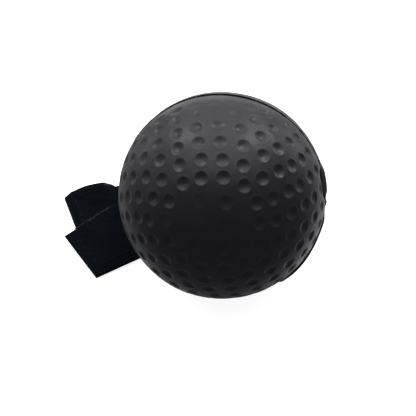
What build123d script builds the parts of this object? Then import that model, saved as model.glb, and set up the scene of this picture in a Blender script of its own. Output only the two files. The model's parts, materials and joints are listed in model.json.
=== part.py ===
from build123d import *
import os
from math import asin, cos, degrees, radians, sin, sqrt

# A reflex ball headband, set down with its ball on the floor and its headband folded up behind it.
# Millimetres, +Z up.  While it is being built, the ball touches the floor at X = Y = 0.
# At the end everything moves so that the origin is the middle of the base of the whole object.

# The ball: two moulded rubber shells, bonded at a recessed seam.
BALL_RADIUS = 32.5
SHELL_WALL = 4.0
SEAM_WIDTH = 1.2
SEAM_DEPTH = 1.2
POLE_RISE = 29.1            # degrees: the front shell's pole looks up by this much
POLE_SWING = 6.9            # degrees: and it looks this far to the left of straight ahead (-Y)

# The cord's way into the ball, at the rear pole.
CORD_BORE_RADIUS = 1.6
FERRULE_RADIUS = 2.6
FERRULE_FLANGE_RADIUS = 4.2
FERRULE_FLANGE = 0.8
FERRULE_FACE = 32.2         # distances from the ball's centre, along the rear pole
FERRULE_END = 28.3
KNOT_WASHER_RADIUS = 5.5
KNOT_WASHER_BORE = 1.8
KNOT_WASHER = 1.2
KNOT_WASHER_GAP = 0.3       # between its rim and the inside of the shell

# The headband: one length of elastic webbing, doubled, and folded to and fro into a bundle.
BAND_WIDTH = 20.0
BAND_THICKNESS = 1.2
LAYER_PITCH = 1.35
TOP_LAYER_LIFT = 1.05       # extra room under the top layer, for the back of the eyelet
BUNDLE_TURN = 17.0          # degrees: the bundle's long direction, turned from +X
BUNDLE_DISTANCE = 36.0      # from the ball's vertical axis to the bundle's middle line
LEFT_FOLD = -14.0           # where the folds are centred, along the bundle
RIGHT_FOLD = 32.0

# The two free ends leave the bundle's lowest layers to the left, and the top one fans out.
UNDER_TAIL_LENGTH = 72.5    # from the right fold
UNDER_TAIL_FAN = 0.0        # degrees, from the bundle's long direction
TOP_TAIL_LENGTH = 77.6
TOP_TAIL_FAN = 15.3
PEEL_LENGTH = 22.0          # how much of the top tail lifts
PEEL_GAP = 0.3
TAIL_EDGE_HEIGHT = 0.6      # underside of the top tail's near edge
TAIL_TIP_RISE = 1.9         # how much higher its far edge is, at the tip
TAIL_PEEL_RISE = 2.9        # and at the line where it starts to lift
FLAT_AGAIN = 31.0           # distance from the tip where it lies level under the bundle

# Hook and loop patches, and the threads that sew them on.
PATCH_WIDTH = 16.0
PATCH_THICKNESS = 0.6
PATCH_MARGIN = 1.5          # from a tail's end to its patch
HOOK_PATCH_LENGTH = 19.0
LOOP_PATCH_LENGTH = 19.0
STITCH_LENGTH = 2.0
STITCH_WIDTH = 0.5
STITCH_HEIGHT = 0.12
STITCH_PITCH = 3.0
STITCH_INSET = 1.5          # from a patch's edge to its row of stitches

# The cord's way into the headband: an eyelet through the top layer and a sewn-on patch.
ANCHOR_POSITION = 6.0       # along the bundle
ANCHOR_LENGTH = 30.0
ANCHOR_WIDTH = 16.0
ANCHOR_THICKNESS = 0.8
EYELET_BORE_RADIUS = 2.0
EYELET_BARREL_RADIUS = 3.0
EYELET_FLANGE_RADIUS = 5.0
EYELET_FLANGE = 0.5
EYELET_TAIL = 0.2           # the barrel's rolled end, below its washer

HALF_WIDTH = BAND_WIDTH / 2
TALL = 200.0                # longer than anything in the object
TOP_LEVEL = 8


def level_base(level):
    """Height of the underside of a layer of the bundle, counted from 1 at the floor."""
    lift = TOP_LAYER_LIFT if level == TOP_LEVEL else 0.0
    return (level - 1) * LAYER_PITCH + lift


def section(near, far, thickness):
    """A strip's cross-section, from the undersides of its near and far edges."""
    up = Vector(0, 0, thickness)
    near, far = Vector(*near), Vector(*far)
    return make_face(Polyline(near, far, far + up, near + up, close=True))


def strip(start, end):
    """A strip of webbing that runs straight from one section to another, and may twist."""
    return loft([start, end], ruled=True)


# ---- The ball ----

def pole_direction():
    rise, swing = radians(POLE_RISE), radians(POLE_SWING)
    return Vector(-sin(swing) * cos(rise), -cos(swing) * cos(rise), sin(rise))


def ball_place():
    """From the ball's own frame, with its front pole along +Z, to where it rests."""
    return Plane(origin=(0, 0, BALL_RADIUS), z_dir=pole_direction()).location


def half_shell(direction):
    """One half of the hollow ball, from the seam to the pole at direction (+1 or -1)."""
    ball = Sphere(BALL_RADIUS) - Sphere(BALL_RADIUS - SHELL_WALL)
    half = Pos(0, 0, direction * (SEAM_WIDTH / 2 + TALL / 2)) * Box(TALL, TALL, TALL)
    return ball & half


def rod(radius, low, high):
    """A round bar on the rear pole, between two distances from the ball's centre."""
    return Pos(0, 0, -(low + high) / 2) * Cylinder(radius, high - low)


def rear_shell():
    counterbore = rod(FERRULE_FLANGE_RADIUS, FERRULE_FACE - FERRULE_FLANGE, TALL)
    return half_shell(-1) - rod(FERRULE_RADIUS, 0, TALL) - counterbore


def seam_bond():
    ring = Cylinder(BALL_RADIUS - SEAM_DEPTH, SEAM_WIDTH)
    return ring - Cylinder(BALL_RADIUS - SHELL_WALL, SEAM_WIDTH)


def ferrule():
    flange = rod(FERRULE_FLANGE_RADIUS, FERRULE_FACE - FERRULE_FLANGE, FERRULE_FACE)
    barrel = rod(FERRULE_RADIUS, FERRULE_END, FERRULE_FACE)
    return flange + barrel - rod(CORD_BORE_RADIUS, 0, TALL)


def knot_washer():
    """What the cord's knot pulls on, just inside the rear shell."""
    inside = BALL_RADIUS - SHELL_WALL
    face = sqrt(inside**2 - KNOT_WASHER_RADIUS**2) - KNOT_WASHER_GAP
    return rod(KNOT_WASHER_RADIUS, face - KNOT_WASHER, face) - rod(KNOT_WASHER_BORE, 0, TALL)


# ---- The headband, in the bundle's frame: X along the bundle, Y away from the ball ----

def bundle_place():
    turn = radians(BUNDLE_TURN)
    middle = (-BUNDLE_DISTANCE * sin(turn), BUNDLE_DISTANCE * cos(turn), 0)
    return Location(middle, (0, 0, BUNDLE_TURN))


def flat_strip(corners, height):
    """Webbing that lies level, from its four corners in the bundle's frame."""
    outline = [(corner.X, corner.Y) for corner in corners]
    return Pos(0, 0, height) * extrude(make_face(Polyline(*outline, close=True)), BAND_THICKNESS)


def fold_corners(position):
    """Where a fold line crosses the near and the far edge of the bundle."""
    return [Vector(position, -HALF_WIDTH), Vector(position, HALF_WIDTH)]


def layer(level):
    """One straight layer of the bundle, between its two fold lines."""
    left_near, left_far = fold_corners(LEFT_FOLD)
    return flat_strip([left_near, left_far, *reversed(fold_corners(RIGHT_FOLD))], level_base(level))


def fold(position, side, low_level, high_level):
    """The half turn that joins two layers, bulging to side (+1 right, -1 left)."""
    low = level_base(low_level)
    high = level_base(high_level) + BAND_THICKNESS
    outer = (high - low) / 2
    ring = Circle(outer) - Circle(outer - BAND_THICKNESS)
    half = ring & Pos(side * outer / 2, 0) * Rectangle(outer, 2 * outer)
    middle = Pos(position, 0, (low + high) / 2)
    return middle * extrude(Plane.XZ * half, amount=HALF_WIDTH, both=True)


def tail_frame(length, fan):
    """The free end's place: X from its tip towards the right fold, Y away from the ball."""
    turn = radians(fan)
    tip = (RIGHT_FOLD - length * cos(turn), -length * sin(turn), 0)
    return Location(tip, (0, 0, fan))


def on_tail(frame, distance, across, height):
    """A point in the bundle's frame, from its place on a tail."""
    return (frame * Pos(distance, across, height)).position


def top_tail_height(distance, across):
    """Underside of the top tail: its near edge is low, and its far edge lies on the other tail."""
    rise = TAIL_TIP_RISE + (TAIL_PEEL_RISE - TAIL_TIP_RISE) * distance / PEEL_LENGTH
    return TAIL_EDGE_HEIGHT + rise * (across + HALF_WIDTH) / BAND_WIDTH


def top_tail_section(distance, half_width=HALF_WIDTH, drop=0.0, thickness=BAND_THICKNESS):
    frame = tail_frame(TOP_TAIL_LENGTH, TOP_TAIL_FAN)
    near, far = (
        on_tail(frame, distance, across, top_tail_height(distance, across) - drop)
        for across in (-half_width, half_width)
    )
    return section(near, far, thickness)


def tail_corners(frame, distance, height=0.0):
    """The near and the far edge of a tail, at a distance from its tip."""
    return [on_tail(frame, distance, across, height) for across in (-HALF_WIDTH, HALF_WIDTH)]


def tail_webbing():
    return strip(top_tail_section(0), top_tail_section(PEEL_LENGTH))


def top_tail_rest():
    """The top tail from the peel line to the right fold, level where it is under the bundle."""
    frame = tail_frame(TOP_TAIL_LENGTH, TOP_TAIL_FAN)
    level_start = section(*tail_corners(frame, FLAT_AGAIN, level_base(2)), BAND_THICKNESS)
    outline = [*tail_corners(frame, FLAT_AGAIN), *reversed(fold_corners(RIGHT_FOLD))]
    rising = strip(top_tail_section(PEEL_LENGTH + PEEL_GAP), level_start)
    return rising + flat_strip(outline, level_base(2))


def under_tail():
    frame = tail_frame(UNDER_TAIL_LENGTH, UNDER_TAIL_FAN)
    outline = [*tail_corners(frame, 0), *reversed(fold_corners(RIGHT_FOLD))]
    return flat_strip(outline, level_base(1))


def eyelet_hole():
    return Pos(ANCHOR_POSITION, 0, level_base(TOP_LEVEL)) * Cylinder(EYELET_BARREL_RADIUS, TALL / 20)


def band_webbing():
    """All the webbing but the lifting end: two tails, six layers and the folds between them."""
    layers = [layer(level) for level in range(3, TOP_LEVEL)]
    layers.append(layer(TOP_LEVEL) - eyelet_hole())
    folds = [
        fold(RIGHT_FOLD, 1, 1, 4),
        fold(RIGHT_FOLD, 1, 2, 3),
        fold(LEFT_FOLD, -1, 3, 6),
        fold(LEFT_FOLD, -1, 4, 5),
        fold(RIGHT_FOLD, 1, 5, 8),
        fold(RIGHT_FOLD, 1, 6, 7),
        fold(LEFT_FOLD, -1, 7, 8),
    ]
    return under_tail().fuse(top_tail_rest(), *layers, *folds)


def hook_patch():
    """Sewn under the lifting end."""
    start, end = (
        top_tail_section(distance, PATCH_WIDTH / 2, PATCH_THICKNESS, PATCH_THICKNESS)
        for distance in (PATCH_MARGIN, PATCH_MARGIN + HOOK_PATCH_LENGTH)
    )
    return strip(start, end)


def loop_patch():
    """Sewn on top of the under tail."""
    frame = tail_frame(UNDER_TAIL_LENGTH, UNDER_TAIL_FAN)
    middle = Pos(
        PATCH_MARGIN + LOOP_PATCH_LENGTH / 2, 0, BAND_THICKNESS + PATCH_THICKNESS / 2
    )
    return frame * middle * Box(LOOP_PATCH_LENGTH, PATCH_WIDTH, PATCH_THICKNESS)


def stitch_places(length, width):
    """Middle and direction of each stitch round a rectangle centred on 0, 0."""
    places = []
    for span, offset, turn in ((length, width / 2, 0), (width, length / 2, 90)):
        count = int((span - STITCH_LENGTH) / STITCH_PITCH) + 1
        for index in range(count):
            along = (index - (count - 1) / 2) * STITCH_PITCH
            for side in (-1, 1):
                point = (along, side * offset) if turn == 0 else (side * offset, along)
                places.append((point, turn))
    return places


def stitching(length, width, place_stitch):
    """A closed row of stitches; place_stitch puts a point of the row on its surface."""
    stitch = Box(STITCH_LENGTH, STITCH_WIDTH, STITCH_HEIGHT)
    rows = stitch_places(length - 2 * STITCH_INSET, width - 2 * STITCH_INSET)
    stitches = [place_stitch(x, y) * Rot(0, 0, turn) * stitch for (x, y), turn in rows]
    return Compound(children=stitches)


def hook_patch_stitching():
    """It shows on the outside of the lifting end."""
    frame = tail_frame(TOP_TAIL_LENGTH, TOP_TAIL_FAN)
    middle = PATCH_MARGIN + HOOK_PATCH_LENGTH / 2

    def place_stitch(x, y):
        distance = middle + x
        height = top_tail_height(distance, y) + BAND_THICKNESS + STITCH_HEIGHT / 2
        slope = top_tail_height(distance, y + 1) - top_tail_height(distance, y)
        return frame * Pos(distance, y, height) * Rot(degrees(asin(slope)), 0, 0)

    return stitching(HOOK_PATCH_LENGTH, PATCH_WIDTH, place_stitch)


def loop_patch_stitching():
    frame = tail_frame(UNDER_TAIL_LENGTH, UNDER_TAIL_FAN)
    middle = PATCH_MARGIN + LOOP_PATCH_LENGTH / 2
    height = BAND_THICKNESS + PATCH_THICKNESS + STITCH_HEIGHT / 2

    def place_stitch(x, y):
        return frame * Pos(middle + x, y, height)

    return stitching(LOOP_PATCH_LENGTH, PATCH_WIDTH, place_stitch)


def anchor_stitching():
    height = level_base(TOP_LEVEL) + BAND_THICKNESS + ANCHOR_THICKNESS + STITCH_HEIGHT / 2

    def place_stitch(x, y):
        return Pos(ANCHOR_POSITION + x, y, height)

    return stitching(ANCHOR_LENGTH, ANCHOR_WIDTH, place_stitch)


def anchor_patch():
    height = level_base(TOP_LEVEL) + BAND_THICKNESS + ANCHOR_THICKNESS / 2
    patch = Pos(ANCHOR_POSITION, 0, height) * Box(ANCHOR_LENGTH, ANCHOR_WIDTH, ANCHOR_THICKNESS)
    return patch - eyelet_hole()


def disc(radius, low, high):
    """A round plate on the eyelet's axis, between two heights."""
    return Pos(ANCHOR_POSITION, 0, (low + high) / 2) * Cylinder(radius, high - low)


def eyelet_span():
    """Lowest and highest point of the eyelet."""
    low = level_base(TOP_LEVEL) - EYELET_FLANGE - EYELET_TAIL
    high = level_base(TOP_LEVEL) + BAND_THICKNESS + ANCHOR_THICKNESS + EYELET_FLANGE
    return low, high


def eyelet():
    low, high = eyelet_span()
    flange = disc(EYELET_FLANGE_RADIUS, high - EYELET_FLANGE, high)
    barrel = disc(EYELET_BARREL_RADIUS, low, high)
    return flange + barrel - disc(EYELET_BORE_RADIUS, low, high)


def eyelet_washer():
    base = level_base(TOP_LEVEL)
    plate = disc(EYELET_FLANGE_RADIUS, base - EYELET_FLANGE, base)
    return plate - disc(EYELET_BARREL_RADIUS, base - EYELET_FLANGE, base)


# ---- The whole object ----

def build_nodes():
    ball, bundle = ball_place(), bundle_place()
    return {
        "ball_front_shell": ball * half_shell(1),
        "ball_rear_shell": ball * rear_shell(),
        "ball_seam_bond": ball * seam_bond(),
        "cord_ferrule": ball * ferrule(),
        "knot_washer": ball * knot_washer(),
        "band_webbing": bundle * band_webbing(),
        "tail_webbing": bundle * tail_webbing(),
        "hook_patch": bundle * hook_patch(),
        "loop_patch": bundle * loop_patch(),
        "hook_patch_stitching": bundle * hook_patch_stitching(),
        "loop_patch_stitching": bundle * loop_patch_stitching(),
        "anchor_patch": bundle * anchor_patch(),
        "anchor_stitching": bundle * anchor_stitching(),
        "eyelet": bundle * eyelet(),
        "eyelet_washer": bundle * eyelet_washer(),
    }


def base_shift(nodes):
    """What moves the middle of the whole object's base to the origin."""
    boxes = [shape.bounding_box() for shape in nodes.values()]
    middle_x = (min(box.min.X for box in boxes) + max(box.max.X for box in boxes)) / 2
    middle_y = (min(box.min.Y for box in boxes) + max(box.max.Y for box in boxes)) / 2
    return Pos(-middle_x, -middle_y, -min(box.min.Z for box in boxes))


def print_interfaces(shift):
    """Places that a record of the object needs, in its final frame."""
    ball, bundle = shift * ball_place(), shift * bundle_place()
    frame = tail_frame(TOP_TAIL_LENGTH, TOP_TAIL_FAN)
    peel_near, peel_far = (
        (bundle * Pos(*on_tail(frame, PEEL_LENGTH, y, top_tail_height(PEEL_LENGTH, y)
                               + BAND_THICKNESS))).position
        for y in (-HALF_WIDTH, HALF_WIDTH)
    )
    low, high = eyelet_span()
    places = {
        "ball centre": ball.position,
        "ball front pole direction": pole_direction(),
        "ferrule middle": (ball * Pos(0, 0, -(FERRULE_FACE + FERRULE_END) / 2)).position,
        "peel line, middle": (peel_near + peel_far) * 0.5,
        "peel line, direction": (peel_far - peel_near).normalized(),
        "eyelet middle": (bundle * Pos(ANCHOR_POSITION, 0, (low + high) / 2)).position,
        "under tail base": (bundle * Pos(0, 0, 0)).position,
    }
    for name, place in places.items():
        print(f"{name}: {place.X:.5f} {place.Y:.5f} {place.Z:.5f}")


def main():
    nodes = build_nodes()
    shift = base_shift(nodes)
    os.makedirs("parts", exist_ok=True)
    for name, shape in nodes.items():
        export_step(shift * shape, f"parts/{name}.step")
    print_interfaces(shift)


main()
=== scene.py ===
"""The looks of a reflex ball headband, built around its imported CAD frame.

Blender's units are metres.  Lengths below are millimetres unless they say otherwise.
"""

import json
import math

import bmesh
import bpy
import numpy as np
from mathutils import Matrix, Vector


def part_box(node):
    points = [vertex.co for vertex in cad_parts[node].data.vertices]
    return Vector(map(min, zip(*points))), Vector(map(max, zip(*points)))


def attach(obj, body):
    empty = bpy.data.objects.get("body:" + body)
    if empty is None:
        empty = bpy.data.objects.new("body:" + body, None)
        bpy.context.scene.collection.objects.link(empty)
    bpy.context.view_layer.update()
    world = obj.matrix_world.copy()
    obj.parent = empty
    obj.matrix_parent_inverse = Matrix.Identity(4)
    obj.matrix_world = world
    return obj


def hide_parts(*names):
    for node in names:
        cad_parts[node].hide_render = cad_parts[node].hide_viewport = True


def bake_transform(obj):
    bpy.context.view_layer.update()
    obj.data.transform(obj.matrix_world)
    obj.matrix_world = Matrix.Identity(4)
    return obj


MM = 0.001

# The camera, as the photograph has it: far away, looking down at 45 degrees along +Y.
CAMERA_RISE = math.radians(45)
CAMERA_DISTANCE = 0.9        # metres
CAMERA_LENS = 248.0
CAMERA_RIGHT_OF_BALL = -4.42
CAMERA_ABOVE_BALL = -4.07

# The ball.
BALL_RADIUS = 32.5
SHELL_WALL = 4.0
SEAM_WIDTH = 1.2
SEAM_DEPTH = 0.8
RIM_ROUND = 0.25
BALL_SIDES = 560
BALL_ROWS = 165
INSIDE_ROWS = 40
POLE_RADIUS = 0.02           # of the small face at the front shell's poles

# The ball's dimples, with angles in degrees.
DIMPLE_COUNTS = (6, 14, 18, 22, 26, 30, 34)    # in each ring, from the pole outwards
DIMPLE_START = 6.0           # one step short of the first ring
DIMPLE_STEP = 10.27          # between rings
DIMPLE_BOW = 0.8             # how unevenly far out a ring's dimples are
FIRST_RING_INWARDS = 2.5
DIMPLE_TURN = 5.8            # round the pole
DIMPLE_TWIST = 1.95          # back, from each ring to the next
DIMPLE_TILT = 1.5            # of the rings' axis from the pole
DIMPLE_RADIUS = 2.15
DIMPLE_DEPTH = 0.62
DIMPLE_LIP = 0.05
FRONT_PLAIN_HEIGHT = 13.5
FRONT_PLAIN_WIDTH = 22.0
FRONT_PLAIN_LEFT = 0.08      # of the ball's radius
REAR_PLAIN = 20.0

# The uneven rims at the right of the photograph, in degrees round the pole from the top.
GAPE_START, GAPE_END = 72, 88
KNOB = 94.5
PROUD_START, PROUD_MORE, PROUD_END = 98, 112, 147

# Cord fittings on the ball's axis, as distances from the ball's centre.
FERRULE_RADIUS = 2.6
FERRULE_FLANGE_RADIUS = 4.2
FERRULE_FLANGE = 0.8
FERRULE_FACE = 32.2
FERRULE_END = 28.3
CORD_BORE = 1.6
WASHER_RADIUS = 5.5
WASHER_BORE = 1.8
WASHER_FACE = 27.66
WASHER_THICKNESS = 1.2

# The headband, in the bundle's frame: X along it, Y away from the ball.
BAND_WIDTH = 20.0
BAND_THICKNESS = 1.2
WOVEN_THICKNESS = 1.08
LAYER_PITCH = 1.35
TOP_LAYER_LIFT = 1.05
TOP_LEVEL = 8
BUNDLE_TURN = math.radians(17)
LEFT_FOLD = -14.0
RIGHT_FOLD = 32.0
UNDER_TAIL_LENGTH = 72.5
UNDER_TAIL_FAN = 0.0
TOP_TAIL_LENGTH = 77.6
TOP_TAIL_FAN = math.radians(15.3)
TAIL_EDGE_HEIGHT = 0.6
TAIL_TIP_RISE = 1.8
TAIL_TWIST = 0.22            # how much more the far edge rises for each mm from the tip
FLAT_FROM = 18.5             # the top tail flattens between these distances from its tip
FLAT_AGAIN = 28.0
SPLIT = 37.0                 # where the top tail's mesh ends, hidden inside the bundle
FOLD_LEVELS = (2, 3, 6, 7, 8, 5, 4, 1)    # the layers that the strap runs through, even ones to the right
STATION_STEP = 0.36
COLUMN_STEP = 0.5
SELVEDGE = 0.45              # width of the strap's rounded edges

PATCH_WIDTH = 16.0
PATCH_LENGTH = 19.0
PATCH_THICKNESS = 0.6
PATCH_MARGIN = 1.5
STITCH_LENGTH = 2.0
STITCH_PITCH = 3.0
STITCH_INSET = 1.5
THREAD_RADIUS = 0.2
FIBRE_RADIUS = 0.05
ANCHOR_POSITION = 6.0
ANCHOR_LENGTH = 30.0
ANCHOR_WIDTH = 16.0
ANCHOR_THICKNESS = 0.8
EYELET_HOLE = 3.05

FLOOR_HALF_WIDTH = 3.0       # metres
WORLD_COLOUR = (0.96, 0.96, 1.08, 1)
WORLD_STRENGTH = 0.17

# Each light's name, direction from the ball, distance, width and height in metres, and watts.
LIGHTS = (("overhead", (0, 0.1, 1), 0.9, 0.8, 0.8, 3.7),
          ("rear_panel", (0, 0.7, 0.7), 1.1, 1.2, 0.8, 4.5),
          ("rear_low", (0, 0.97, 0.2), 1.0, 1.0, 0.4, 0.9),
          ("left_window", (-0.53, 0.49, 0.69), 0.85, 0.15, 0.4, 1.6),
          ("right_window", (0.53, 0.49, 0.69), 0.85, 0.15, 0.4, 2.1),
          ("left_panel", (-0.6, 0, 0.8), 0.9, 0.5, 0.5, 1.0),
          ("right_panel", (0.6, 0, 0.8), 0.9, 0.5, 0.5, 0.5),
          ("left_side", (-0.95, 0.1, 0.3), 0.9, 0.5, 0.5, 0.5),
          ("left_rear", (-0.7, 0.6, 0.1), 0.9, 0.4, 0.4, 0.7),
          ("right_rear", (0.7, 0.6, 0.1), 0.9, 0.4, 0.4, 1.0),
          ("table_left", (-0.54, 0.6, -0.6), 0.5, 0.4, 0.4, 0.17),
          ("table_right", (0.54, 0.6, -0.6), 0.5, 0.4, 0.4, 0.33),
          ("table_rear", (0, 0.98, -0.21), 0.8, 0.6, 0.3, 0.8),
          ("table_near_left", (-0.38, 0.33, -0.86), 0.4, 0.2, 0.2, 0.03),
          ("table_near_right", (0.38, 0.33, -0.86), 0.4, 0.2, 0.2, 0.03))

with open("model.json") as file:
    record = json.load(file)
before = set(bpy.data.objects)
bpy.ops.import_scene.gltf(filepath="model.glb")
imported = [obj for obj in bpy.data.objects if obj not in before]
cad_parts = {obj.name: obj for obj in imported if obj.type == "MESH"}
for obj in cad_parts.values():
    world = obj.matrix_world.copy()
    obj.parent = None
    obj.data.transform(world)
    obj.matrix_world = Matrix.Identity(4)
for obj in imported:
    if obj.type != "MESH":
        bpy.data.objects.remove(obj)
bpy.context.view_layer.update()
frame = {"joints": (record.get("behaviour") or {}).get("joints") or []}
joints = {joint["name"]: joint for joint in frame["joints"]}


# ---- Node helpers ----

def new_material(name, base, roughness, **inputs):
    """A material with a Principled shader; inputs are more of the shader's sockets."""
    material = bpy.data.materials.new(name)
    material.use_nodes = True
    material.diffuse_color = (*base, 1)
    shader = material.node_tree.nodes["Principled BSDF"]
    shader.inputs["Base Color"].default_value = (*base, 1)
    shader.inputs["Roughness"].default_value = roughness
    for socket, value in inputs.items():
        shader.inputs[socket.replace("_", " ")].default_value = value
    return material


def add(tree, kind, inputs=None, **settings):
    """A new node; its inputs are plain values or other nodes' output sockets."""
    node = tree.nodes.new(kind)
    for key, value in settings.items():
        setattr(node, key, value)
    for key, value in (inputs or {}).items():
        if isinstance(value, bpy.types.NodeSocket):
            tree.links.new(value, node.inputs[key])
        else:
            node.inputs[key].default_value = value
    return node


def coordinates(tree, kind):
    return add(tree, "ShaderNodeTexCoord").outputs[kind]


def noise(tree, coords, scale, detail=3.0, roughness=0.55):
    inputs = {"Vector": coords, "Scale": scale, "Detail": detail, "Roughness": roughness}
    return add(tree, "ShaderNodeTexNoise", inputs).outputs["Fac"]


def math_node(tree, operation, first, second=0.0):
    return add(tree, "ShaderNodeMath", {0: first, 1: second}, operation=operation).outputs[0]


def remap(tree, value, low, high, new_low, new_high):
    inputs = {"Value": value, "From Min": low, "From Max": high, "To Min": new_low, "To Max": new_high}
    return add(tree, "ShaderNodeMapRange", inputs).outputs["Result"]


def blend_colours(tree, value, low, high, first, second):
    """From the first colour, where value is low, to the second, where it is high."""
    ramp = add(tree, "ShaderNodeValToRGB", {"Fac": value})
    for element, position, colour in zip(ramp.color_ramp.elements, (low, high), (first, second)):
        element.position = position
        element.color = (*colour, 1)
    return ramp.outputs["Color"]


def shader_of(material):
    return material.node_tree.nodes["Principled BSDF"]


def set_bump(material, height, strength, distance):
    """distance is in metres."""
    tree = material.node_tree
    bump = add(tree, "ShaderNodeBump", {"Height": height, "Strength": strength, "Distance": distance})
    tree.links.new(bump.outputs["Normal"], shader_of(material).inputs["Normal"])


def link(material, socket, output):
    material.node_tree.links.new(output, shader_of(material).inputs[socket])


# ---- Materials ----

def rubber(name, dark, light, roughness, **inputs):
    """Moulded rubber: faint cloudy colour, uneven gloss and a fine grain."""
    material = new_material(name, light, roughness, **inputs)
    tree = material.node_tree
    coords = coordinates(tree, "Object")
    cloud = noise(tree, coords, 55, 4)
    link(material, "Base Color", blend_colours(tree, cloud, 0.35, 0.65, dark, light))
    gloss = noise(tree, coords, 140, 5)
    low, high = roughness - 0.05, roughness + 0.06
    link(material, "Roughness", remap(tree, gloss, 0.3, 0.7, low, high))
    set_bump(material, noise(tree, coords, 1900, 4, 0.6), 0.16, 0.00012)
    return material


def woven(name, dark, light, rib, yarn, roughness):
    """Cloth with ribs across it (every rib mm) and yarns along it (every yarn mm); its UVs are in cm."""
    material = new_material(name, light, roughness, Sheen_Weight=0.008, Sheen_Roughness=0.6,
                            Specular_IOR_Level=0.05)
    tree = material.node_tree
    parts = add(tree, "ShaderNodeSeparateXYZ", {"Vector": coordinates(tree, "UV")}).outputs
    wave = 20 * math.pi    # one wave for each mm
    ribs = math_node(tree, "SINE", math_node(tree, "MULTIPLY", parts["X"], wave / rib))
    yarns = math_node(tree, "SINE", math_node(tree, "MULTIPLY", parts["Y"], wave / yarn))
    weave = math_node(tree, "MULTIPLY", ribs, yarns)
    fibre = noise(tree, coordinates(tree, "Object"), 2600, 5, 0.7)
    height = math_node(tree, "ADD", math_node(tree, "MULTIPLY", weave, 0.5), fibre)
    set_bump(material, height, 0.7, 0.00016)
    cloud = noise(tree, coordinates(tree, "Object"), 130, 4)
    worn = math_node(tree, "ADD", math_node(tree, "MULTIPLY", weave, 0.12), cloud)
    link(material, "Base Color", blend_colours(tree, worn, 0.3, 0.75, dark, light))
    return material


def plain(name, dark, light, roughness, grain, grain_depth, **inputs):
    """Colour clouds and a grain; grain is the noise's scale and grain_depth is in metres."""
    material = new_material(name, light, roughness, **inputs)
    tree = material.node_tree
    coords = coordinates(tree, "Object")
    cloud = noise(tree, coords, grain / 6, 4)
    link(material, "Base Color", blend_colours(tree, cloud, 0.35, 0.65, dark, light))
    link(material, "Roughness", remap(tree, cloud, 0.3, 0.7, roughness - 0.06, roughness + 0.06))
    set_bump(material, noise(tree, coords, grain, 4, 0.65), 0.5, grain_depth)
    return material


def make_materials():
    return {
        "ball": rubber("ball_rubber", (0.010, 0.010, 0.014), (0.014, 0.0138, 0.019), 0.44,
                       Specular_IOR_Level=0.34, Coat_Weight=0.08, Coat_Roughness=0.2),
        # Near-black and dull: painted shade of the sunk groove between the ball's halves.
        "seam": rubber("seam_rubber", (0.002, 0.002, 0.002), (0.004, 0.004, 0.004), 0.8,
                       Specular_IOR_Level=0.1),
        "webbing": woven("webbing", (0.0010, 0.0024, 0.0056), (0.0031, 0.0045, 0.0078), 1.5, 1.0, 0.9),
        # Worn fibres, much paler than the webbing: the pale colour paints the highlight along the tails'
        # far selvedges.
        "fuzz_and_highlight": plain("worn_fibre_painted_highlight", (0.014, 0.015, 0.019), (0.042, 0.044, 0.05), 0.9, 3000, 0.00005),
        "patch": woven("patch_cloth", (0.0025, 0.003, 0.0045), (0.006, 0.006, 0.008), 0.8, 0.8, 0.8),
        "loops": plain("loop_tape", (0.0008, 0.0021, 0.0052), (0.0034, 0.0045, 0.0076), 0.95, 2400,
                       0.0003, Sheen_Weight=0.012, Specular_IOR_Level=0.04),
        "hooks": plain("hook_tape", (0.006, 0.006, 0.008), (0.011, 0.011, 0.013), 0.5, 2000, 0.0001),
        "thread": plain("thread", (0.002, 0.003, 0.005), (0.006, 0.007, 0.010), 0.8, 3600, 0.00008,
                        Specular_IOR_Level=0.12),
        "metal": plain("black_nickel", (0.13, 0.13, 0.135), (0.2, 0.2, 0.21), 0.28, 900, 0.00003,
                       Metallic=1.0),
        "plastic": plain("moulded_nylon", (0.012, 0.012, 0.013), (0.018, 0.018, 0.02), 0.5, 1500,
                         0.00005),
    }


# ---- Mesh helpers ----

def piece(name, points, faces, material, body=None, replaces=()):
    """A piece from points in metres, in the row frame, riding on its body."""
    mesh = bpy.data.meshes.new(name)
    quads = faces.tolist() if isinstance(faces, np.ndarray) else faces
    mesh.from_pydata(np.asarray(points).tolist(), [], quads)
    outward = bmesh.new()
    outward.from_mesh(mesh)
    bmesh.ops.recalc_face_normals(outward, faces=outward.faces)
    outward.to_mesh(mesh)
    outward.free()
    mesh.materials.append(material)
    mesh.polygons.foreach_set("use_smooth", [True] * len(mesh.polygons))
    item = bpy.data.objects.new(name, mesh)
    bpy.context.scene.collection.objects.link(item)
    if body:
        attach(item, body)
    if replaces:
        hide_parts(*replaces)
    return item


def to_world(points, place):
    """Points in mm, in a place's frame (a 4x4 in metres), as points in metres."""
    matrix = np.array(place)
    return np.asarray(points) * MM @ matrix[:3, :3].T + matrix[:3, 3]


def ring_faces(rows, sides, wrap):
    """Quads of a grid of rows that closes on itself sideways, and also endways if wrap."""
    last = rows if wrap else rows - 1
    row, side = np.meshgrid(np.arange(last), np.arange(sides), indexing="ij")
    below, beside = (row + 1) % rows, (side + 1) % sides
    corners = (row * sides + side, row * sides + beside, below * sides + beside, below * sides + side)
    return np.stack([corner.ravel() for corner in corners], axis=1)


def lathe(profile, sides):
    """A turned closed ring: its points, (rows, sides, 3), from (radius, height) pairs."""
    profile = np.asarray(profile, float)
    angle = np.arange(sides) * 2 * np.pi / sides
    radius, height = profile[:, :1], profile[:, 1:]
    return np.stack([radius * np.cos(angle), radius * np.sin(angle),
                     np.broadcast_to(height, (len(profile), sides))], axis=2)


def turned_piece(name, profile, sides, place, material, body, replaces):
    points = lathe(profile, sides)
    faces = ring_faces(len(profile), sides, True)
    return piece(name, to_world(points.reshape(-1, 3), place), faces, material, body, replaces)


def unit(vectors):
    """Rows of vectors, each made one long."""
    return vectors / np.linalg.norm(vectors, axis=1)[:, None]


def smooth_step(value):
    value = np.clip(value, 0, 1)
    return value * value * (3 - 2 * value)


# ---- The ball ----

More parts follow.
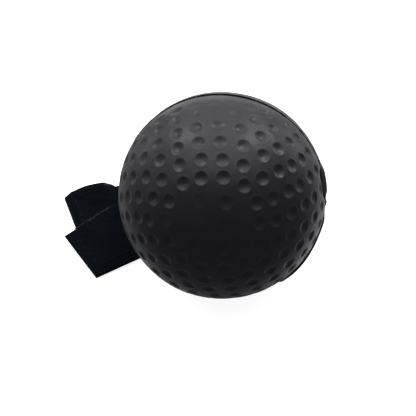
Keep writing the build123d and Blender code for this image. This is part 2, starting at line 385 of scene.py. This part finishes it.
def camera_axes():
    """The photograph's right, up and towards-the-camera directions."""
    back = Vector((0, -math.cos(CAMERA_RISE), math.sin(CAMERA_RISE)))
    right = Vector((1, 0, 0))
    return right, back.cross(right), back


def ball_place():
    """The ball's frame: Z to its front pole, X up and Y right as the photograph shows it."""
    pole = Vector(joints["ball_spin"]["axis"]).normalized()
    up = camera_axes()[1]
    up = (up - pole * up.dot(pole)).normalized()
    place = Matrix((up, up.cross(pole), pole)).transposed().to_4x4()
    place.translation = Vector(joints["ball_spin"]["pos_m"])
    return place


def dimple_directions(side):
    """Rings of dimples, bowed between four meridians, round an axis tilted a little from the pole."""
    found = []
    for ring, count in enumerate(DIMPLE_COUNTS, 1):
        steps = (np.arange(count) + 0.5) * 360 / count
        turns = np.radians(steps + DIMPLE_TURN - DIMPLE_TWIST * ring)
        inwards = FIRST_RING_INWARDS if ring == 1 else 0.0
        bowed = DIMPLE_BOW * (1 - np.cos(np.radians(4 * steps)))
        angles = np.radians(DIMPLE_START + DIMPLE_STEP * ring - inwards + bowed)
        found.append(np.stack([np.sin(angles) * np.cos(turns), np.sin(angles) * np.sin(turns),
                               np.cos(angles)], axis=1))
    x, y, z = np.vstack(found).T
    cosine, sine = math.cos(math.radians(DIMPLE_TILT)), math.sin(math.radians(DIMPLE_TILT))
    return np.stack([x * cosine - z * sine, y, side * (x * sine + z * cosine)], axis=1)


def dimple_strengths(centres, side):
    """How deep each dimple is: the front is plain beside its pole, and so is the rear's middle.

    The front's dimples are shallower next to the top of its rim.
    """
    if side < 0:
        return (np.abs(centres[:, 2]) < math.cos(math.radians(REAR_PLAIN))).astype(float)
    height, width = (math.sin(math.radians(angle)) for angle in (FRONT_PLAIN_HEIGHT, FRONT_PLAIN_WIDTH))
    spread = np.hypot(centres[:, 0] / height, (centres[:, 1] + FRONT_PLAIN_LEFT) / width)
    near_top = smooth_step((centres[:, 0] - 0.86) / 0.09)
    return smooth_step((spread - 0.75) / 0.5) * (1 - 0.85 * near_top)


def dimple_offset(directions, side):
    """Radial offset of the outer surface, in mm, for unit directions in the ball's frame."""
    centres = dimple_directions(side)
    strengths = dimple_strengths(centres, side)
    random = np.random.default_rng(7)
    strengths *= random.uniform(0.88, 1.08, len(centres))
    centres = unit(centres + random.normal(0, 0.006, centres.shape))
    closeness = directions @ centres.T
    nearest = closeness.argmax(axis=1)
    angle = np.arccos(np.clip(closeness.max(axis=1), -1, 1))
    reach = angle * BALL_RADIUS / DIMPLE_RADIUS
    bowl = -DIMPLE_DEPTH * np.clip(1 - reach**2, 0, 1) ** 1.2
    lip = DIMPLE_LIP * np.exp(-(((reach - 1.08) / 0.12) ** 2))
    return strengths[nearest] * (bowl + lip)


def unevenness(directions):
    """Slow, shallow waves of moulded rubber, in mm."""
    x, y, z = directions.T
    return 0.05 * (np.sin(5 * x + 3 * z) + np.sin(6 * y - 4 * x + 1) + np.sin(7 * z + 2 * y))


def open_seam(around):
    """Where the seam gapes, from 0 to 1, for angles in degrees round the pole."""
    return smooth_step((around - GAPE_START) / 6) * (1 - smooth_step((around - GAPE_END) / 6))


def rim_offset(directions, side):
    """The uneven rims at the right of the photograph: the seam gapes, and the rear half stands proud."""
    around = np.degrees(np.arctan2(directions[:, 1], directions[:, 0]))
    from_seam = np.degrees(np.arcsin(np.clip(np.abs(directions[:, 2]), 0, 1)))
    gape = open_seam(around)
    if side > 0:
        return -1.2 * gape * (1 - smooth_step(from_seam / 11))
    lip = gape * (0.5 * (1 - smooth_step((from_seam - 8) / 20)) - 1.3 * (1 - smooth_step(from_seam / 5)))
    knob = 0.5 * np.exp(-(((around - KNOB) / 1.8) ** 2)) * (1 - smooth_step(from_seam / 5))
    proud = 0.6 * smooth_step((around - PROUD_START) / 8) + 0.8 * smooth_step((around - PROUD_MORE) / 30)
    proud *= 1 - smooth_step((around - PROUD_END) / 5)
    return lip + knob + proud * (1 - smooth_step((from_seam - 6) / 22))


def sphere_rows(radius, first, last, count):
    """(radius, height) pairs down a sphere, between two angles from its pole."""
    angles = np.linspace(first, last, count)
    return np.stack([radius * np.sin(angles), radius * np.cos(angles)], axis=1)


def half_profile(start_radius, end_radius):
    """A half shell's outside from one radius, its rim, and its inside to another radius."""
    inner = BALL_RADIUS - SHELL_WALL
    rim = SEAM_WIDTH / 2
    outside = sphere_rows(BALL_RADIUS, math.asin(start_radius / BALL_RADIUS),
                          math.acos((rim + RIM_ROUND) / BALL_RADIUS), BALL_ROWS)
    edge = [(BALL_RADIUS - RIM_ROUND * (1 - math.cos(turn)), rim + RIM_ROUND * (1 - math.sin(turn)))
            for turn in np.radians((25, 50, 75, 90))]
    inside = sphere_rows(inner, math.acos(rim / inner), math.asin(end_radius / inner), INSIDE_ROWS)
    return outside, edge, inside


def shell_points(profile, skin_rows, side):
    """The shell's points, with dimples and waves on its skin, which is the profile's first rows."""
    points = lathe(profile * (1, side), BALL_SIDES)
    skin = points[:skin_rows].reshape(-1, 3)
    directions = unit(skin)
    offset = unevenness(directions) + dimple_offset(directions, side) + rim_offset(directions, side)
    points[:skin_rows] = (skin + directions * offset[:, None]).reshape(skin_rows, BALL_SIDES, 3)
    return points


def front_half(place, material):
    """The front shell, with each of its two small open poles closed by one face."""
    outside, edge, inside = half_profile(POLE_RADIUS, POLE_RADIUS)
    profile = np.vstack([outside, edge, inside])
    points = shell_points(profile, len(outside) + len(edge), 1)
    rows = len(profile)
    faces = ring_faces(rows, BALL_SIDES, False).tolist()
    faces.append(list(range(BALL_SIDES)))
    faces.append(list(range((rows - 1) * BALL_SIDES, rows * BALL_SIDES)))
    return piece("ball_front_half", to_world(points.reshape(-1, 3), place), faces, material,
                 "ball", ["ball_front_shell"])


def rear_half(place, material):
    """The rear shell, open at its pole for the ferrule."""
    outside, edge, inside = half_profile(FERRULE_FLANGE_RADIUS + 0.25, FERRULE_RADIUS)
    seat = FERRULE_FACE - FERRULE_FLANGE
    counterbore = [(FERRULE_RADIUS, seat), (FERRULE_FLANGE_RADIUS, seat),
                   (FERRULE_FLANGE_RADIUS, FERRULE_FACE - 0.3),
                   (FERRULE_FLANGE_RADIUS + 0.08, FERRULE_FACE - 0.1)]
    profile = np.vstack([outside, edge, inside, counterbore])
    points = shell_points(profile, len(outside) + len(edge), -1)
    faces = ring_faces(len(profile), BALL_SIDES, True)
    return piece("ball_rear_half", to_world(points.reshape(-1, 3), place), faces, material,
                 "ball", ["ball_rear_shell"])


def seam(place, material):
    """The bond between the halves: sunk, a little uneven, and smeared thinly over both rims. Its near-black
    colour paints the shade of the sunk groove, and the smear spreads that painted shade over the rims.
    """
    outer, inner, half = BALL_RADIUS - SEAM_DEPTH, BALL_RADIUS - SHELL_WALL, SEAM_WIDTH / 2
    lip = [(inner, half), (BALL_RADIUS - RIM_ROUND, half), (BALL_RADIUS - 0.1, half + 0.15),
           (BALL_RADIUS - 0.04, half + 0.5), (BALL_RADIUS + 0.04, half + 0.42),
           (BALL_RADIUS, half + 0.1), (BALL_RADIUS - 0.2, half - 0.06), (outer + 0.3, half - 0.12),
           (outer, half - 0.35)]
    profile = lip + [(outer + 0.05, 0)] + [(radius, -height) for radius, height in reversed(lip)]
    points = lathe(profile, BALL_SIDES)
    angle = np.arange(BALL_SIDES) * 2 * np.pi / BALL_SIDES
    waves = sum(0.02 * np.sin(count * angle + count) for count in (9, 17, 31, 54))
    sunk = waves - 1.1 * open_seam(np.degrees(angle))
    points[1:-1, :, :2] *= (1 + sunk / outer)[None, :, None]
    faces = ring_faces(len(profile), BALL_SIDES, True)
    return piece("ball_seam_line", to_world(points.reshape(-1, 3), place), faces, material,
                 "ball", ["ball_seam_bond"])


def cord_fittings(place, materials):
    """The ferrule at the rear pole, and the washer that the cord's knot pulls on."""
    seat, flange = FERRULE_FACE - FERRULE_FLANGE, FERRULE_FLANGE_RADIUS
    ferrule = [(CORD_BORE, FERRULE_END + 0.15), (CORD_BORE + 0.15, FERRULE_END),
               (FERRULE_RADIUS - 0.2, FERRULE_END), (FERRULE_RADIUS, FERRULE_END + 0.3),
               (FERRULE_RADIUS, seat), (flange - 0.05, seat), (flange - 0.02, seat + 0.35),
               (flange - 0.25, FERRULE_FACE - 0.12), (flange - 0.9, FERRULE_FACE),
               (CORD_BORE + 0.9, FERRULE_FACE + 0.05),
               (CORD_BORE + 0.35, FERRULE_FACE - 0.05), (CORD_BORE + 0.05, FERRULE_FACE - 0.45),
               (CORD_BORE, FERRULE_FACE - 0.8)]
    turned_piece("cord_ferrule_bush", np.array(ferrule) * (1, -1), 72, place, materials["plastic"],
                 "ball", ["cord_ferrule"])
    back = WASHER_FACE - WASHER_THICKNESS
    washer = [(WASHER_BORE, back + 0.2), (WASHER_BORE + 0.2, back), (WASHER_RADIUS - 0.3, back),
              (WASHER_RADIUS, back + 0.3), (WASHER_RADIUS, WASHER_FACE - 0.3),
              (WASHER_RADIUS - 0.3, WASHER_FACE), (WASHER_BORE + 0.2, WASHER_FACE),
              (WASHER_BORE, WASHER_FACE - 0.2)]
    turned_piece("cord_knot_washer", np.array(washer) * (1, -1), 72, place, materials["plastic"],
                 "cord_end", ["knot_washer"])


# ---- The headband ----

def bundle_place():
    """The bundle's frame, found from the eyelet, which is on its middle line."""
    low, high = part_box("eyelet")
    middle = (low + high) / 2
    along = Vector((math.cos(BUNDLE_TURN), math.sin(BUNDLE_TURN), 0))
    origin = middle - along * ANCHOR_POSITION * MM
    return Matrix.Translation((origin.x, origin.y, 0)) @ Matrix.Rotation(BUNDLE_TURN, 4, "Z")


def level_middle(level):
    """Height of the middle of a layer's webbing."""
    lift = TOP_LAYER_LIFT if level == TOP_LEVEL else 0.0
    return (level - 1) * LAYER_PITCH + lift + BAND_THICKNESS / 2


def on_tail(length, fan, distance, across, height):
    """Bundle-frame point from its place on a tail: distance from the tip, and across."""
    x = RIGHT_FOLD - length * math.cos(fan) + distance * math.cos(fan) - across * math.sin(fan)
    y = -length * math.sin(fan) + distance * math.sin(fan) + across * math.cos(fan)
    return np.array((x, y, height))


def tail_height(distance, across):
    """Middle of the top tail's webbing: twisted over the tail under it, then flat in the bundle."""
    rise = TAIL_TIP_RISE + TAIL_TWIST * min(distance, FLAT_AGAIN)
    lifted = TAIL_EDGE_HEIGHT + rise * (across + BAND_WIDTH / 2) / BAND_WIDTH + BAND_THICKNESS / 2
    flat = smooth_step((distance - FLAT_FROM) / (FLAT_AGAIN - FLAT_FROM))
    return lifted + (level_middle(FOLD_LEVELS[0]) - lifted) * flat


def straight(near_from, far_from, near_to, far_to):
    """Stations of a straight run: (near edge, far edge) pairs."""
    length = np.linalg.norm((near_to + far_to - near_from - far_from) / 2)
    share = np.linspace(0, 1, max(2, round(length / STATION_STEP)), endpoint=False)[:, None]
    return near_from + (near_to - near_from) * share, far_from + (far_to - far_from) * share


def fold_edges(position, level):
    """The strap's near and far edge where it meets a fold."""
    half = BAND_WIDTH / 2
    return [np.array((position, across, level_middle(level))) for across in (-half, half)]


def half_turn(position, side, start_level, end_level):
    """Stations round a fold, from one level to another."""
    start, end = level_middle(start_level), level_middle(end_level)
    radius = abs(start - end) / 2
    turn = np.linspace(0, math.pi, max(10, round(math.pi * radius / STATION_STEP)), endpoint=False)
    x = position + side * radius * np.sin(turn)
    z = (start + end) / 2 + (start - end) / 2 * np.cos(turn)
    half = BAND_WIDTH / 2
    return (np.stack([x, np.full_like(x, -half), z], 1), np.stack([x, np.full_like(x, half), z], 1))


def bundle_run():
    """The strap from where the top tail's mesh ends, to and fro, to the under tail's tip."""
    half = BAND_WIDTH / 2
    first, last = FOLD_LEVELS[0], FOLD_LEVELS[-1]
    split = [on_tail(TOP_TAIL_LENGTH, TOP_TAIL_FAN, SPLIT, across, level_middle(first))
             for across in (-half, half)]
    runs = [straight(*split, *fold_edges(RIGHT_FOLD, first))]
    for start, end in zip(FOLD_LEVELS, FOLD_LEVELS[1:]):
        heading_right = start % 2 == 0
        position, side = (RIGHT_FOLD, 1) if heading_right else (LEFT_FOLD, -1)
        runs.append(half_turn(position, side, start, end))
        if end != last:
            other = LEFT_FOLD if heading_right else RIGHT_FOLD
            runs.append(straight(*fold_edges(position, end), *fold_edges(other, end)))
    tip = [on_tail(UNDER_TAIL_LENGTH, UNDER_TAIL_FAN, 0, across, level_middle(last))
           for across in (-half, half)]
    runs.append(straight(*fold_edges(RIGHT_FOLD, last), *tip))
    near = np.vstack([run[0] for run in runs] + [tip[0][None]])
    far = np.vstack([run[1] for run in runs] + [tip[1][None]])
    return near, far


def top_tail_run():
    """The top tail, from its tip to where its mesh ends inside the bundle."""
    half = BAND_WIDTH / 2
    near, far = [], []
    for distance in np.linspace(0, SPLIT, round(SPLIT / STATION_STEP) + 1):
        for across, edge in ((-half, near), (half, far)):
            height = tail_height(distance, across)
            edge.append(on_tail(TOP_TAIL_LENGTH, TOP_TAIL_FAN, distance, across, height))
    return np.array(near), np.array(far)


def across_fractions(width):
    """Where the columns of points are, from 0 to 1 across: closer together at the edges."""
    edge = SELVEDGE * (1 - np.cos(np.linspace(0, np.pi / 2, 5)))
    middle = np.linspace(SELVEDGE, width - SELVEDGE, round((width - 2 * SELVEDGE) / COLUMN_STEP))
    return np.concatenate([edge[:-1], middle, width - edge[:-1][::-1]]) / width


def rounded(places, reach, least):
    """How thick a strip is, from least to 1: as a quarter circle, within reach of both its ends."""
    inwards = np.minimum(places, places[-1] - places)
    return np.sqrt(np.clip(1 - (1 - np.clip(inwards / reach, 0, 1)) ** 2, least, 1))


def strap_grid(near, far, thickness, relief, lift=None):
    """A closed woven strip: points (stations, columns round it, 3) and their UVs in cm.

    lift gives how far the strip is raised, from distances along and across it.
    """
    width = np.linalg.norm(far - near, axis=1).mean()
    share = across_fractions(width)
    middle = (near + far) / 2
    normal = unit(np.cross(unit(np.gradient(middle, axis=0)), unit(far - near)))
    travelled = np.concatenate([[0], np.cumsum(np.linalg.norm(np.diff(middle, axis=0), axis=1))])
    across = share * width
    rounding = rounded(across, SELVEDGE, 0.02)
    half = thickness / 2 * rounded(travelled, thickness / 2, 0.25)[:, None] * rounding[None, :]
    rough = relief(travelled[:, None], across[None, :]) * rounding[None, :]
    surface = near[:, None] * (1 - share[None, :, None]) + far[:, None] * share[None, :, None]
    if lift:
        surface[:, :, 2] += lift(travelled[:, None], across[None, :])
    top = surface + normal[:, None] * (half + rough)[:, :, None]
    bottom = surface - normal[:, None] * (half + rough)[:, :, None]
    points = np.concatenate([top, bottom[:, ::-1]], axis=1)
    uv = np.stack(np.broadcast_arrays(travelled[:, None] / 10, across[None, :] / 10), axis=2)
    uv = np.concatenate([uv, uv[:, ::-1]], axis=1)
    return points, uv


def punch(points, centre, radius):
    """Moves a strip's points out of a round hole, and tells which cells of its top it opens."""
    half = points.shape[1] // 2
    offset = points[:, :, :2] - centre[:2]
    reach = np.hypot(offset[:, :, 0], offset[:, :, 1])
    inside = (reach < radius) & (np.abs(points[:, :, 2] - centre[2]) < 1.0)
    points[inside, :2] = centre[:2] + offset[inside] * (radius / np.maximum(reach[inside], 1e-6))[:, None]
    along = inside[:-1, :half] & inside[1:, :half]
    return along[:, :-1] & along[:, 1:]


def hole_wall(opened, columns):
    """Quads round a hole, from the strip's top to its underside."""
    padded = np.pad(opened, 1)
    walls = []
    for row, column in zip(*np.nonzero(padded[1:, 1:] != padded[:-1, 1:])):
        if column < opened.shape[1]:
            walls.append(((row, column), (row, column + 1)))
    for row, column in zip(*np.nonzero(padded[1:, 1:] != padded[1:, :-1])):
        if row < opened.shape[0]:
            walls.append(((row, column), (row + 1, column)))
    return [[row * columns + column, last_row * columns + last_column,
             last_row * columns + columns - 1 - last_column, row * columns + columns - 1 - column]
            for (row, column), (last_row, last_column) in walls]


def strap_faces(stations, columns, opened):
    """Sides of a closed strip without its opened cells, its two ends, and its hole's wall."""
    half = columns // 2
    closed = np.ones((stations - 1, columns), bool)
    closed[:, :half - 1] = ~opened
    closed[:, half:columns - 1] = ~opened[:, ::-1]
    faces = ring_faces(stations, columns, False)[closed.ravel()].tolist()
    for base in (0, (stations - 1) * columns):
        for column in range(half - 1):
            opposite = columns - 1 - column
            faces.append([base + column, base + column + 1, base + opposite - 1, base + opposite])
    return np.array(faces + hole_wall(opened, columns))


def set_uv(item, uv):
    layer = item.data.uv_layers.new(name="UVMap")
    vertex = np.zeros(len(item.data.loops), np.int64)
    item.data.loops.foreach_get("vertex_index", vertex)
    layer.data.foreach_set("uv", uv[vertex].ravel())


def strap_piece(name, near, far, thickness, relief, place, material, body, replaces,
                lift=None, hole=None):
    """A woven strip as a piece; a hole is given as its middle, for a hole the eyelet's size."""
    points, uv = strap_grid(near, far, thickness, relief, lift)
    stations, columns = points.shape[:2]
    opened = np.zeros((stations - 1, columns // 2 - 1), bool)
    if hole is not None:
        opened = punch(points, hole, EYELET_HOLE)
    used, faces = np.unique(strap_faces(stations, columns, opened), return_inverse=True)
    item = piece(name, to_world(points.reshape(-1, 3)[used], place), faces.reshape(-1, 4), material,
                 body, replaces)
    set_uv(item, uv.reshape(-1, 2)[used])
    return item


def webbing_relief(travelled, across):
    """Ribs across the webbing, broken into rows by the yarns that run along it."""
    ribs = np.cos(2 * np.pi * travelled / 1.5)
    rows = np.cos(2 * np.pi * across / 2.0)
    return 0.022 * ribs + 0.016 * rows


def patch_relief(travelled, across):
    return 0.012 * np.cos(2 * np.pi * travelled / 1.2) * np.cos(2 * np.pi * across / 1.2)


def flat_relief(travelled, across):
    return np.zeros(np.broadcast(travelled, across).shape)


def under_tail_lift(distance, across):
    """The under tail's far edge curls up, until it is near the bundle."""
    along = smooth_step(distance / 9) * (1 - smooth_step((distance - 12.8) / 4))
    return 1.95 * along * smooth_step((across - 9) / 11)


def under_tail_edge(distance):
    """How much narrower the under tail is at its cut corner, and where it goes under the bundle."""
    corner = 1.5 * np.clip(1 - distance / 2.5, 0, 1)
    waist = 1.6 * smooth_step((distance - 16.6) / 1.1) * (1 - smooth_step((distance - 22) / 10))
    return corner + waist


def bundle_webbing(place, material):
    near, far = bundle_run()
    middle = (near + far) / 2
    steps = np.linalg.norm(np.diff(middle, axis=0), axis=1)
    from_tip = np.concatenate([np.cumsum(steps[::-1])[::-1], [0]])
    far = far - unit(far - near) * under_tail_edge(from_tip)[:, None]

    def lift(travelled, across):
        return under_tail_lift(travelled[-1] - travelled, across)

    return strap_piece("headband_webbing", near, far, WOVEN_THICKNESS, webbing_relief, place,
                       material, "band", ["band_webbing"], lift,
                       (ANCHOR_POSITION, 0, level_middle(TOP_LEVEL)))


def free_end(place, material):
    near, far = top_tail_run()
    item = strap_piece("headband_free_end", near, far, WOVEN_THICKNESS, webbing_relief, place,
                       material, None, ["tail_webbing"])
    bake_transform(item)
    return item


# ---- Patches and stitches ----

def loop_surface(x, y):
    """The under tail's top, at a place along and across from the loop patch's middle."""
    distance = PATCH_MARGIN + PATCH_LENGTH / 2 + x
    height = BAND_THICKNESS + under_tail_lift(distance, y + BAND_WIDTH / 2)
    return on_tail(UNDER_TAIL_LENGTH, UNDER_TAIL_FAN, distance, y, height)


def hook_surface(x, y):
    """The top tail's top, at a place along and across from the hook patch's middle."""
    distance = PATCH_MARGIN + PATCH_LENGTH / 2 + x
    height = tail_height(distance, y) + BAND_THICKNESS / 2
    return on_tail(TOP_TAIL_LENGTH, TOP_TAIL_FAN, distance, y, height)


def anchor_surface(x, y):
    """The bundle's top, at a place along and across from the eyelet."""
    height = level_middle(TOP_LEVEL) + BAND_THICKNESS / 2
    return np.array((ANCHOR_POSITION + x, y, height))


def patch(name, surface, length, width, middle_height, thickness, relief, place, finish, body,
          node, hole=None):
    """A sewn-on patch, its middle at a height above its surface."""
    xs = np.linspace(-length / 2, length / 2, round(length / 0.4))
    raised = np.array((0, 0, middle_height))
    near, far = (np.array([surface(x, side * width / 2) + raised for x in xs]) for side in (-1, 1))

    def lift(travelled, across):
        """How far the surface is above a straight line across it."""
        ys = across[0] - width / 2
        share = across[0] / width
        return np.array([[surface(x, y)[2] - (low[2] + (high[2] - low[2]) * part - middle_height)
                          for y, part in zip(ys, share)] for x, low, high in zip(xs, near, far)])

    return strap_piece(name, near, far, thickness, relief, place, finish, body, [node], lift, hole)


def stitch_places(length, width):
    """Middle and direction of each stitch round a rectangle centred on 0, 0."""
    places = []
    for span, offset, turned in ((length, width / 2, False), (width, length / 2, True)):
        count = int((span - STITCH_LENGTH) / STITCH_PITCH) + 1
        for index in range(count):
            along = (index - (count - 1) / 2) * STITCH_PITCH
            for across in (-offset, offset):
                places.append(((across, along) if turned else (along, across), turned))
    return places


def tube(middles, radii, up, sides=8):
    """A closed thread along a row of points: its points and faces."""
    direction = middles[-1] - middles[0]
    sideways = np.cross(up, direction)
    sideways = sideways / np.linalg.norm(sideways)
    turns = np.arange(sides) * 2 * np.pi / sides
    ring = np.cos(turns)[:, None] * sideways + np.sin(turns)[:, None] * up
    points = middles[:, None] + np.asarray(radii)[:, None, None] * ring[None]
    faces = ring_faces(len(middles), sides, False).tolist()
    faces.append(list(range(sides)))
    faces.append(list(range((len(middles) - 1) * sides, len(middles) * sides)))
    return points.reshape(-1, 3), faces


def joined(tubes):
    """All the tubes' points, and their faces as one mesh's."""
    points, faces = [], []
    for rows, quads in tubes:
        faces += [[index + len(points) for index in quad] for quad in quads]
        points += rows.tolist()
    return points, faces


def stitch_tube(start, end, up):
    """One stitch: a short arched thread with sunk ends."""
    share = np.linspace(-1, 1, 9)[:, None]
    middles = (start + end) / 2 + (end - start) / 2 * share + up * (0.02 - 0.24 * share**4)
    return tube(middles, THREAD_RADIUS * (1 - 0.35 * share[:, 0]**6), up)


def fibre_piece(name, edge_point, first, last, strip, count, place, material, body):
    """Short worn fibres along an edge, between two distances from its tip, in a narrow strip."""
    random = np.random.default_rng(count)
    tubes = []
    up = np.array((0, 0, 1.0))
    for distance in random.uniform(first, last, count):
        length, away = random.uniform(0.5, 1.6), random.uniform(*strip)
        share = np.linspace(0, 1, 6)[:, None]
        start = edge_point(distance, away)
        end = edge_point(distance + length, away + random.uniform(-0.25, 0.25))
        arch = up * random.uniform(0.05, 0.3) * np.sin(math.pi * share)
        middles = start + (end - start) * share + arch
        tubes.append(tube(middles, np.full(6, FIBRE_RADIUS), up, 5))
    points, faces = joined(tubes)
    return piece(name, to_world(points, place), faces, material, body)


def stitches(name, surface, length, width, height, place, material, body, node):
    """The closed row of stitches round a patch."""
    tubes = []
    for (x, y), turned in stitch_places(length - 2 * STITCH_INSET, width - 2 * STITCH_INSET):
        step = STITCH_LENGTH / 2
        ends = [surface(x - step * (not turned), y - step * turned),
                surface(x + step * (not turned), y + step * turned)]
        across = surface(x, y + 1) - surface(x, y)
        along = surface(x + 1, y) - surface(x, y)
        up = np.cross(along, across)
        up = up / np.linalg.norm(up)
        tubes.append(stitch_tube(ends[0] + up * height, ends[1] + up * height, up))
    points, faces = joined(tubes)
    return piece(name, to_world(points, place), faces, material, body, [node])


def eyelet_pieces(place, material):
    """The rolled eyelet through the top layer and its patch, and its back washer."""
    base = level_middle(TOP_LEVEL) - BAND_THICKNESS / 2
    top = base + BAND_THICKNESS + ANCHOR_THICKNESS
    tail = base - 0.7
    ring = [(2.0, tail + 0.1), (2.05, top - 0.2), (2.15, top + 0.18), (2.4, top + 0.38), (2.8, top + 0.5),
            (3.5, top + 0.5), (4.3, top + 0.4), (4.85, top + 0.2), (5.0, top + 0.06), (4.95, top + 0.01),
            (3.1, top + 0.01), (3.0, top - 0.1), (3.0, base - 0.5), (3.25, base - 0.55), (3.3, tail + 0.05),
            (3.1, tail), (2.2, tail)]
    centre = place @ Matrix.Translation((ANCHOR_POSITION * MM, 0, 0))
    turned_piece("band_eyelet", ring, 96, centre, material, "band", ["eyelet"])
    washer = [(3.06, base - 0.48), (4.8, base - 0.4), (5.0, base - 0.25), (4.95, base - 0.02),
              (3.06, base - 0.02)]
    turned_piece("band_eyelet_washer", washer, 96, centre, material, "band",
                 ["eyelet_washer"])


def under_tail_edge_point(distance, away):
    """A point on the under tail's far selvedge, or away from it across the tail."""
    across = BAND_WIDTH / 2 + away - under_tail_edge(distance)
    height = BAND_THICKNESS + under_tail_lift(distance, across + BAND_WIDTH / 2)
    return on_tail(UNDER_TAIL_LENGTH, UNDER_TAIL_FAN, distance, across, height)


def top_tail_edge_point(distance, away):
    across = BAND_WIDTH / 2 + away
    height = tail_height(distance, across) + BAND_THICKNESS / 2
    return on_tail(TOP_TAIL_LENGTH, TOP_TAIL_FAN, distance, across, height)


def worn_edges_painted_highlight(place, material):
    """The worn fibres on both tails' far selvedges: one piece on the band, and one on its free end. Their
    pale colour paints the highlight along the selvedges.
    """
    tuft = fibre_piece("under_tail_fibres", under_tail_edge_point, 13.2, 15.4, (-1.7, -0.5), 70, place,
                       material, "band")
    edge = fibre_piece("free_end_fibres", top_tail_edge_point, 3.5, 16.0, (-0.5, 0.05), 75, place,
                       material, "tail")
    return tuft, edge


def sewn_pieces(place, materials):
    """Patches and their threads; returns what is sewn to the band, and to its free end."""
    half = PATCH_THICKNESS / 2
    loop = patch("loop_patch_tape", loop_surface, PATCH_LENGTH, PATCH_WIDTH, half, PATCH_THICKNESS,
                 flat_relief, place, materials["loops"], "band", "loop_patch")
    hook = patch("hook_patch_tape", hook_surface, PATCH_LENGTH, PATCH_WIDTH, -BAND_THICKNESS - half,
                 PATCH_THICKNESS, flat_relief, place, materials["hooks"], "tail", "hook_patch")
    anchor = patch("anchor_patch_cloth", anchor_surface, ANCHOR_LENGTH, ANCHOR_WIDTH,
                   ANCHOR_THICKNESS / 2, ANCHOR_THICKNESS - 0.04, patch_relief, place, materials["patch"],
                   "band", "anchor_patch",
                   anchor_surface(0, 0) + (0, 0, ANCHOR_THICKNESS / 2))
    thread = materials["thread"]
    on_loop = stitches("loop_patch_threads", loop_surface, PATCH_LENGTH, PATCH_WIDTH, PATCH_THICKNESS,
                       place, thread, "band", "loop_patch_stitching")
    on_hook = stitches("hook_patch_threads", hook_surface, PATCH_LENGTH, PATCH_WIDTH, 0.0,
                       place, thread, "tail", "hook_patch_stitching")
    on_anchor = stitches("anchor_patch_threads", anchor_surface, ANCHOR_LENGTH, ANCHOR_WIDTH,
                         ANCHOR_THICKNESS, place, thread, "band", "anchor_stitching")
    tuft, edge = worn_edges_painted_highlight(place, materials["fuzz_and_highlight"])
    return [loop, anchor, on_loop, on_anchor, tuft], [hook, on_hook, edge]


def run_length(run):
    """Length along the middle of a run of the strap, in metres."""
    middle = (run[0] + run[1]) / 2
    return np.linalg.norm(np.diff(middle, axis=0), axis=1).sum() * MM


# ---- Stage ----

def aim(item, location, target):
    item.location = location
    item.rotation_mode = "QUATERNION"
    item.rotation_quaternion = (Vector(target) - Vector(location)).to_track_quat("-Z", "Y")
    bpy.context.scene.collection.objects.link(item)


def make_camera(centre):
    right, up, back = camera_axes()
    target = centre + (right * CAMERA_RIGHT_OF_BALL + up * CAMERA_ABOVE_BALL) * MM
    data = bpy.data.cameras.new("camera")
    data.lens = CAMERA_LENS
    data.sensor_width = 36.0
    data.clip_start, data.clip_end = 0.05, 10.0
    camera = bpy.data.objects.new("camera", data)
    aim(camera, target + back * CAMERA_DISTANCE, target)
    bpy.context.scene.camera = camera


def make_light(name, centre, direction, distance, width, height, power):
    """A panel that faces the ball, and that the camera doesn't see."""
    data = bpy.data.lights.new(name, "AREA")
    data.shape = "RECTANGLE"
    data.size, data.size_y = width, height
    data.energy = power
    item = bpy.data.objects.new(name, data)
    aim(item, centre + Vector(direction).normalized() * distance, centre)
    item.visible_camera = False


def make_floor():
    """The pale floor, which the object neither reflects nor takes light or shade from."""
    size = FLOOR_HALF_WIDTH
    mesh = bpy.data.meshes.new("floor")
    corners = [(-size, -size, 0), (size, -size, 0), (size, size, 0), (-size, size, 0)]
    mesh.from_pydata(corners, [], [(0, 1, 2, 3)])
    floor = bpy.data.objects.new("floor", mesh)
    bpy.context.scene.collection.objects.link(floor)
    material = new_material("pale_floor", (0.86, 0.86, 0.86), 0.95, Emission_Strength=0.88)
    shader_of(material).inputs["Emission Color"].default_value = (1, 1, 1, 1)
    mesh.materials.append(material)
    floor.visible_glossy = False
    floor.visible_diffuse = False
    floor.visible_shadow = False


def make_lights(centre):
    """Soft panels above and behind, windows at both sides, and a table's glow under the rear."""
    for name, direction, distance, width, height, power in LIGHTS:
        make_light(name, centre, direction, distance, width, height, power)
    world = bpy.data.worlds.new("studio")
    world.use_nodes = True
    background = world.node_tree.nodes["Background"]
    background.inputs["Color"].default_value = WORLD_COLOUR
    background.inputs["Strength"].default_value = WORLD_STRENGTH
    bpy.context.scene.world = world
    bpy.context.scene.view_settings.view_transform = "Standard"


# ---- The whole scene ----

def main():
    materials = make_materials()
    ball, bundle = ball_place(), bundle_place()
    make_camera(ball.translation)
    make_floor()
    make_lights(ball.translation)

    front_half(ball, materials["ball"])
    rear_half(ball, materials["ball"])
    seam(ball, materials["seam"])
    cord_fittings(ball, materials)

    webbing = bundle_webbing(bundle, materials["webbing"])
    end = free_end(bundle, materials["webbing"])
    on_band, on_end = sewn_pieces(bundle, materials)
    eyelet_pieces(bundle, materials["metal"])
    run_length(top_tail_run())


main()
